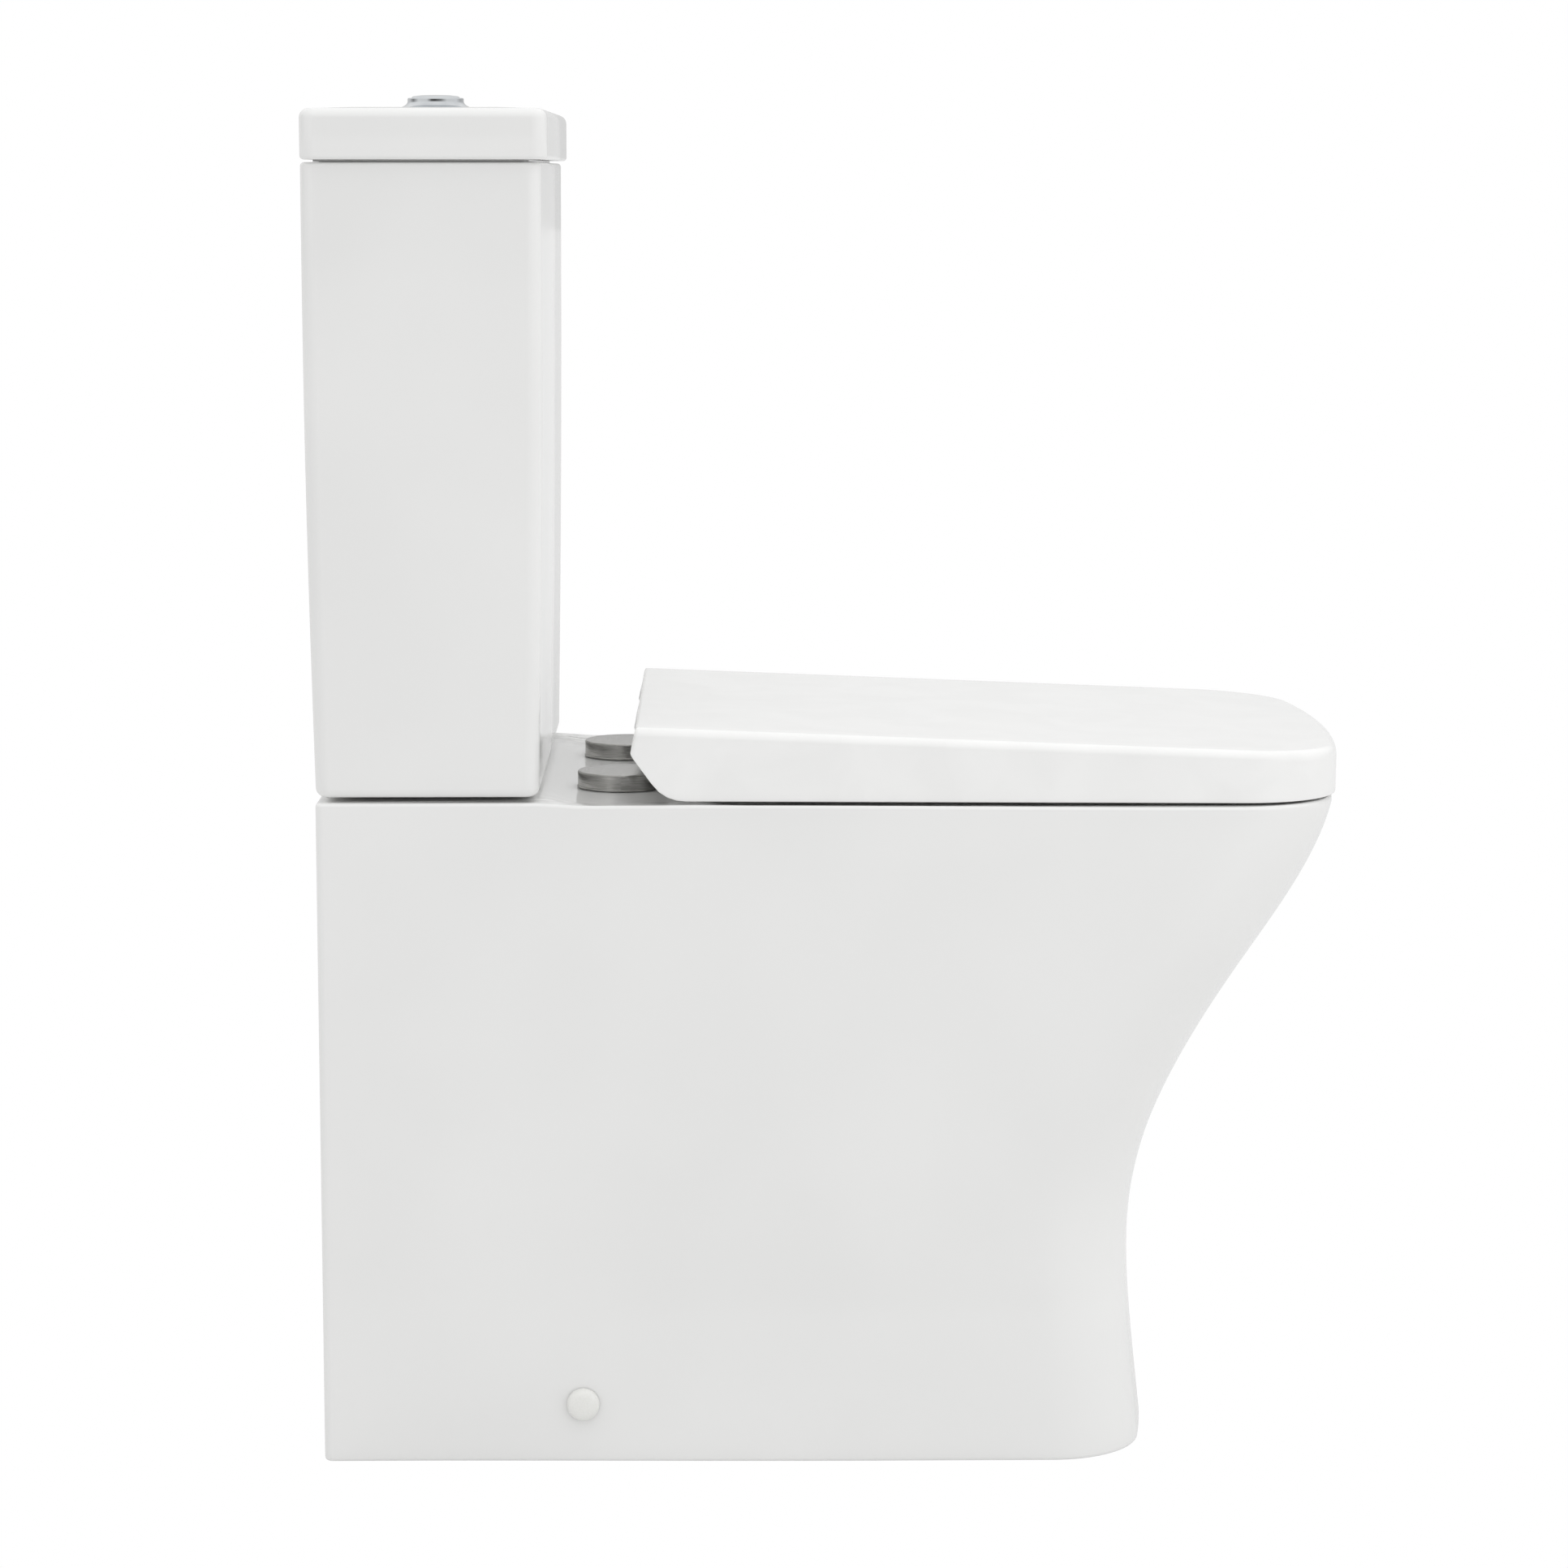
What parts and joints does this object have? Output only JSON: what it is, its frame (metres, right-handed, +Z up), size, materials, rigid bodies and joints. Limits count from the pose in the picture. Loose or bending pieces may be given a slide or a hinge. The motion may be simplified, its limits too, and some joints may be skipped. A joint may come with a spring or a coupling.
{
  "type": "close coupled toilet",
  "caption": "Back to wall close coupled toilet: skirted ceramic pan, tall slim cistern with dual flush button, wrap-over soft close seat.",
  "frame": {"origin": "on the floor, under the centre of the whole object's bounding box", "axes": "+Z up, +Y towards the wall behind, the front of the bowl points to -Y, X across the pan"},
  "size_m": [0.361, 0.65, 0.8528],
  "materials": {
    "glazed_ceramic": "gloss glaze",
    "seat_plastic": "moulded, semi gloss",
    "seat_buffer": "matte",
    "brushed_steel": "fine brushed",
    "zinc_steel": "bright zinc plate",
    "black_rubber": "matte",
    "foam_rubber": "matte foam",
    "chrome": "polished",
    "white_abs": "moulded satin",
    "grey_abs": "moulded satin",
    "blue_abs": "moulded satin"
  },
  "bodies": {
    "root": {"cistern": "glazed_ceramic", "coupling_bolt_left": "zinc_steel", "coupling_bolt_right": "zinc_steel", "coupling_seal_left": "black_rubber", "coupling_seal_right": "black_rubber", "coupling_washer_left": "black_rubber", "coupling_washer_right": "black_rubber", "coupling_wing_nut_left": "zinc_steel", "coupling_wing_nut_right": "zinc_steel", "doughnut_washer": "foam_rubber", "fill_valve_body": "white_abs", "floor_bracket_left": "zinc_steel", "floor_bracket_right": "zinc_steel", "flush_valve_back_nut": "white_abs", "flush_valve_base": "white_abs", "flush_valve_tower": "white_abs", "hinge_cap_left": "brushed_steel", "hinge_cap_right": "brushed_steel", "hinge_pin_left": "brushed_steel", "hinge_pin_right": "brushed_steel", "hinge_post_left": "zinc_steel", "hinge_post_right": "zinc_steel", "hinge_stud_left": "zinc_steel", "hinge_stud_right": "zinc_steel", "hinge_washer_left": "black_rubber", "hinge_washer_right": "black_rubber", "hinge_wing_nut_left": "white_abs", "hinge_wing_nut_right": "white_abs", "inlet_back_nut": "white_abs", "inlet_washer": "black_rubber", "pan": "glazed_ceramic", "side_fixing_cap_left": "white_abs", "side_fixing_cap_right": "white_abs", "side_fixing_screw_left": "zinc_steel", "side_fixing_screw_right": "zinc_steel"},
    "seat": {"seat_ring": "seat_plastic", "seat_damper": "grey_abs", "ring_buffer_front_left": "seat_buffer", "ring_buffer_front_right": "seat_buffer", "ring_buffer_rear_left": "seat_buffer", "ring_buffer_rear_right": "seat_buffer"},
    "cover": {"seat_cover": "seat_plastic", "cover_damper": "grey_abs", "cover_buffer_left": "seat_buffer", "cover_buffer_right": "seat_buffer"},
    "lid": {"cistern_lid": "glazed_ceramic", "button_bezel": "chrome", "bezel_nut": "white_abs"},
    "full_button": {"full_flush_button": "chrome"},
    "half_button": {"half_flush_button": "chrome"},
    "plunger": {"overflow_tube": "blue_abs", "valve_seal": "black_rubber"},
    "float": {"fill_valve_float": "blue_abs"},
    "lever": {"float_lever": "grey_abs"}
  },
  "joints": [
    {"name": "seat_hinge", "type": "hinge", "parent": "root", "child": "seat", "pos_m": [0, 0.104, 0.449], "axis": [-1, 0, 0], "range_deg": [0, 95]},
    {"name": "cover_hinge", "type": "hinge", "parent": "seat", "child": "cover", "pos_m": [0, 0.104, 0.449], "axis": [1, 0, 0], "range_deg": [-96, 0]},
    {"name": "cistern_lid_lift", "type": "slide", "parent": "root", "child": "lid", "axis": [0, 0, 1], "range_m": [0, 0.15]},
    {"name": "full_flush_press", "type": "slide", "parent": "lid", "child": "full_button", "axis": [0, 0, -1], "range_m": [0, 0.006], "stiffness_N_per_m": 400, "springref_m": -0.003},
    {"name": "half_flush_press", "type": "slide", "parent": "lid", "child": "half_button", "axis": [0, 0, -1], "range_m": [0, 0.006], "stiffness_N_per_m": 400, "springref_m": -0.003},
    {"name": "plunger_lift", "type": "slide", "parent": "root", "child": "plunger", "axis": [0, 0, 1], "range_m": [0, 0.018]},
    {"name": "float_rise", "type": "slide", "parent": "root", "child": "float", "axis": [0, 0, 1], "range_m": [0, 0.02]},
    {"name": "lever_tilt", "type": "hinge", "parent": "root", "child": "lever", "pos_m": [0.14, 0.271, 0.744], "axis": [0, 1, 0], "range_deg": [0, 39]}
  ],
  "couplings": [
    {"joint": "plunger_lift", "follows": "full_flush_press", "ratio": 3},
    {"joint": "lever_tilt", "follows": "float_rise", "rad_per_m": 33.3}
  ]
}
